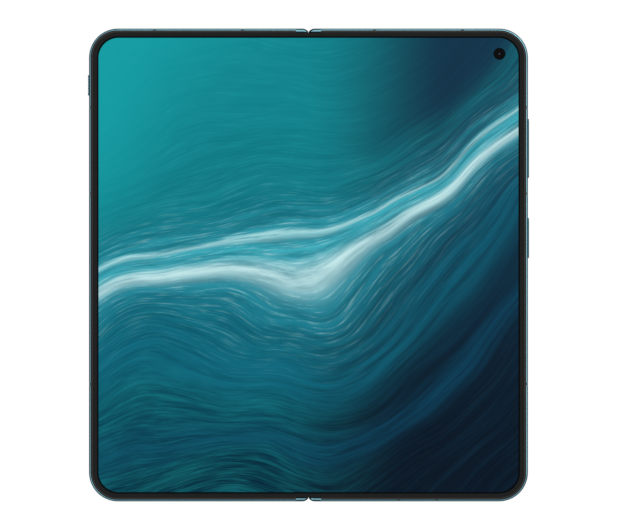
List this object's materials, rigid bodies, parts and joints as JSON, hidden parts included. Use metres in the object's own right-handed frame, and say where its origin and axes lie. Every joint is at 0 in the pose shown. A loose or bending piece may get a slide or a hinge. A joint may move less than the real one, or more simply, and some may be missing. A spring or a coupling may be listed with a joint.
{
  "type": "foldable smartphone",
  "caption": "Book-style folding smartphone, lying open: large creased inner display, spine hinge, cover display, round camera deck.",
  "frame": {"origin": "centre of the open phone's outline, at the level of the camera ring's face, which is its lowest plane", "axes": "+X towards the half with the cameras and keys, +Y along the fold line to the top edge, +Z out of the inner display"},
  "size_m": [0.1432, 0.1534, 0.008],
  "materials": {
    "band_metal": "satin anodised",
    "antenna_plastic": "matte",
    "back_glass": "satin glass, coloured behind",
    "cover_glass": "polished, black behind",
    "camera_black": "gloss",
    "lens_glass": "coated",
    "lens_trim": "turned",
    "flash": "clear, ribbed",
    "bezel": "soft matte",
    "display": "smooth, lit",
    "plate_steel": "satin",
    "hinge_steel": "machined",
    "spine_metal": "satin anodised",
    "board": "solder mask",
    "shield": "pressed",
    "cell": "laminated pouch",
    "module_black": "matte",
    "flex": "polyimide film"
  },
  "bodies": {
    "right_half": {"right_frame": "band_metal", "right_antenna_strips": "antenna_plastic", "right_back_glass": "back_glass", "camera_deck": "camera_black", "camera_ring": "band_metal", "camera_glass": "camera_black", "rear_lens_rings": "lens_trim", "rear_lens_windows": "lens_glass", "rear_camera_modules": "module_black", "flash_lens": "flash", "right_bezel": "bezel", "right_display_backing": "plate_steel", "right_display_panel": "display", "inner_camera": "camera_black", "main_board": "board", "board_shields": "shield", "right_battery": "cell", "usb_receptacle": "plate_steel", "loudspeaker": "module_black", "vibration_motor": "plate_steel", "sim_reader": "plate_steel", "key_switches": "flex", "right_hinge_arms": "hinge_steel", "right_sync_gears": "hinge_steel", "right_hinge_screws": "hinge_steel"},
    "left_half": {"left_frame": "band_metal", "left_antenna_strips": "antenna_plastic", "cover_glass": "cover_glass", "cover_display_panel": "module_black", "cover_camera": "camera_black", "earpiece": "module_black", "left_bezel": "bezel", "left_display_backing": "plate_steel", "left_display_panel": "display", "left_battery": "cell", "sub_board": "board", "left_speaker": "module_black", "slider_switch": "module_black", "left_hinge_arms": "hinge_steel", "left_sync_gears": "hinge_steel", "left_hinge_screws": "hinge_steel"},
    "spine": {"spine_cover": "spine_metal", "spine_end_caps": "hinge_steel", "hinge_blocks": "hinge_steel", "hinge_shafts": "hinge_steel", "friction_discs": "hinge_steel", "centre_plate": "plate_steel", "display_fold_zone": "display", "fold_bezel_strips": "bezel", "hinge_flex_cables": "flex"},
    "left_wing": {"left_wing_plate": "plate_steel"},
    "right_wing": {"right_wing_plate": "plate_steel"},
    "left_idlers": {"left_idler_gears": "hinge_steel"},
    "right_idlers": {"right_idler_gears": "hinge_steel"},
    "volume_key": {"volume_rocker": "band_metal"},
    "power_button": {"power_key": "band_metal"},
    "alert_switch": {"alert_slider": "band_metal"},
    "tray": {"sim_tray": "band_metal"}
  },
  "joints": [
    {"name": "fold_right", "type": "hinge", "parent": "spine", "child": "right_half", "pos_m": [0.002, 0, 0.00605], "axis": [0, -1, 0], "range_deg": [0, 90], "deforming": ["display_fold_zone", "fold_bezel_strips"]},
    {"name": "fold_left", "type": "hinge", "parent": "spine", "child": "left_half", "pos_m": [-0.002, 0, 0.00605], "axis": [0, 1, 0], "range_deg": [0, 90], "deforming": ["display_fold_zone", "fold_bezel_strips"]},
    {"name": "left_idler_turn", "type": "hinge", "parent": "spine", "child": "left_idlers", "pos_m": [-0.0008, 0, 0.00499], "axis": [0, 1, 0], "range_deg": [-90, 0]},
    {"name": "right_idler_turn", "type": "hinge", "parent": "spine", "child": "right_idlers", "pos_m": [0.0008, 0, 0.00499], "axis": [0, 1, 0], "range_deg": [0, 90]},
    {"name": "left_wing_tilt", "type": "hinge", "parent": "left_half", "child": "left_wing", "pos_m": [-0.0065, 0, 0.00705], "axis": [0, 1, 0], "range_deg": [0, 27]},
    {"name": "right_wing_tilt", "type": "hinge", "parent": "right_half", "child": "right_wing", "pos_m": [0.0065, 0, 0.00705], "axis": [0, 1, 0], "range_deg": [-27, 0]},
    {"name": "volume_rock", "type": "hinge", "parent": "right_half", "child": "volume_key", "pos_m": [0.0699, 0.0378, 0.00513], "axis": [0, 0, 1], "range_deg": [-1, 1], "stiffness_Nm_per_rad": 0.6},
    {"name": "power_press", "type": "slide", "parent": "right_half", "child": "power_button", "axis": [-1, 0, 0], "range_m": [0, 0.0002], "stiffness_N_per_m": 6000},
    {"name": "alert_slide", "type": "slide", "parent": "left_half", "child": "alert_switch", "axis": [0, 1, 0], "range_m": [-0.0012, 0.0012]},
    {"name": "tray_slide", "type": "slide", "parent": "right_half", "child": "tray", "axis": [0, -1, 0], "range_m": [0, 0.0155]}
  ],
  "couplings": [
    {"joint": "fold_left", "follows": "fold_right", "ratio": 1},
    {"joint": "left_idler_turn", "follows": "fold_right", "ratio": -1},
    {"joint": "right_idler_turn", "follows": "fold_right", "ratio": 1},
    {"joint": "left_wing_tilt", "follows": "fold_right", "ratio": 0.3},
    {"joint": "right_wing_tilt", "follows": "fold_right", "ratio": -0.3}
  ]
}
